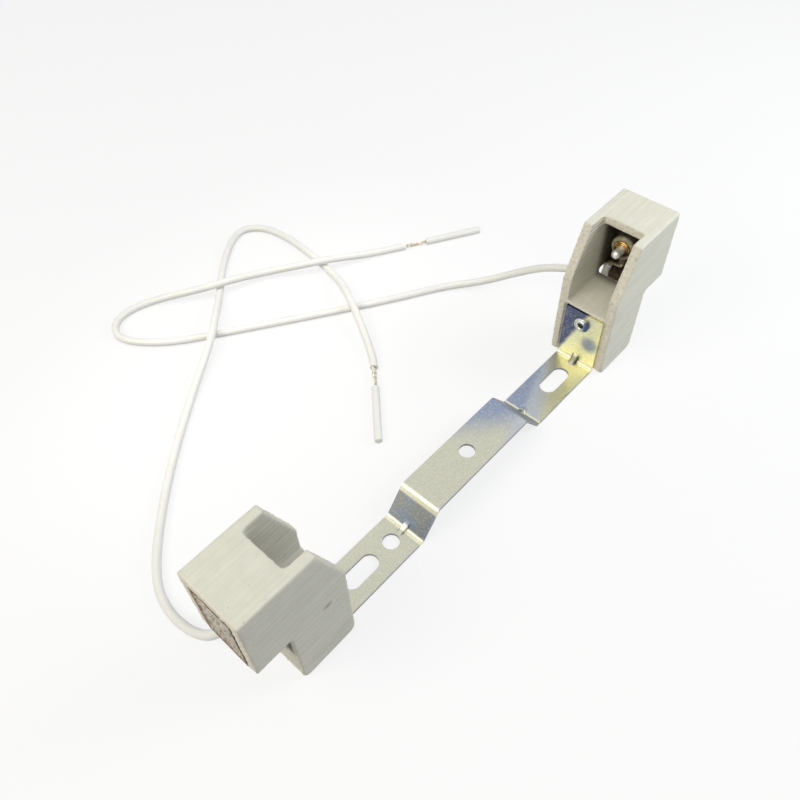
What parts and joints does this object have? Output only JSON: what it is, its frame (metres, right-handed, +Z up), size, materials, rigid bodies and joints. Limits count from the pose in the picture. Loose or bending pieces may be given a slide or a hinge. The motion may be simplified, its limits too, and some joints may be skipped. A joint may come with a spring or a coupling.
{
  "type": "lampholder pair",
  "caption": "Two upright ceramic lampholders with sprung contacts and white leads, riveted to the tabs of a joggled steel strip, for a double-ended linear lamp.",
  "frame": {"origin": "middle of the strip, on the plane that its two low flats rest on", "axes": "+X along the strip towards the right holder, +Y across the strip towards the side where the leads lie, +Z up, from the strip to the lamp"},
  "size_m": [0.1461, 0.1211, 0.04],
  "materials": {
    "zinc_steel": "bright zinc plate with a faint yellow and blue tint",
    "steatite": "unglazed, extruded, fine lines along X",
    "cement": "rough grey sealing cement",
    "plated_rivet": "zinc plated steel",
    "guide_ceramic": "unglazed",
    "bronze": "phosphor bronze",
    "silvered_contact": "silver plated, polished",
    "spring_wire": "stainless spring wire",
    "strand_copper": "fine tinned strands, twisted",
    "lead_insulation": "white heat resistant insulation"
  },
  "bodies": {
    "holder_body": {"bracket": "zinc_steel", "right_holder_ceramic": "steatite", "right_back_cement": "cement", "right_bottom_cement": "cement", "right_rivet": "plated_rivet", "right_rivet_washer": "plated_rivet", "right_contact_guide": "guide_ceramic", "right_contact_collar": "bronze", "right_contact_spring": "spring_wire", "right_pigtail": "strand_copper", "right_lead": "lead_insulation", "right_lead_strands": "strand_copper", "right_tip_slug": "lead_insulation", "left_holder_ceramic": "steatite", "left_back_cement": "cement", "left_bottom_cement": "cement", "left_rivet": "plated_rivet", "left_rivet_washer": "plated_rivet", "left_contact_guide": "guide_ceramic", "left_contact_collar": "bronze", "left_contact_spring": "spring_wire", "left_pigtail": "strand_copper", "left_lead": "lead_insulation", "left_lead_strands": "strand_copper", "left_tip_slug": "lead_insulation"},
    "right_contact": {"right_contact_plunger": "silvered_contact", "right_contact_crimp": "silvered_contact"},
    "left_contact": {"left_contact_plunger": "silvered_contact", "left_contact_crimp": "silvered_contact"}
  },
  "joints": [
    {"name": "right_contact_slide", "type": "slide", "parent": "holder_body", "child": "right_contact", "axis": [1, 0, 0], "range_m": [0, 0.0035], "stiffness_N_per_m": 1500, "springref_m": -0.002, "deforming": ["right_contact_spring", "right_pigtail"]},
    {"name": "left_contact_slide", "type": "slide", "parent": "holder_body", "child": "left_contact", "axis": [-1, 0, 0], "range_m": [0, 0.0035], "stiffness_N_per_m": 1500, "springref_m": -0.002, "deforming": ["left_contact_spring", "left_pigtail"]}
  ]
}
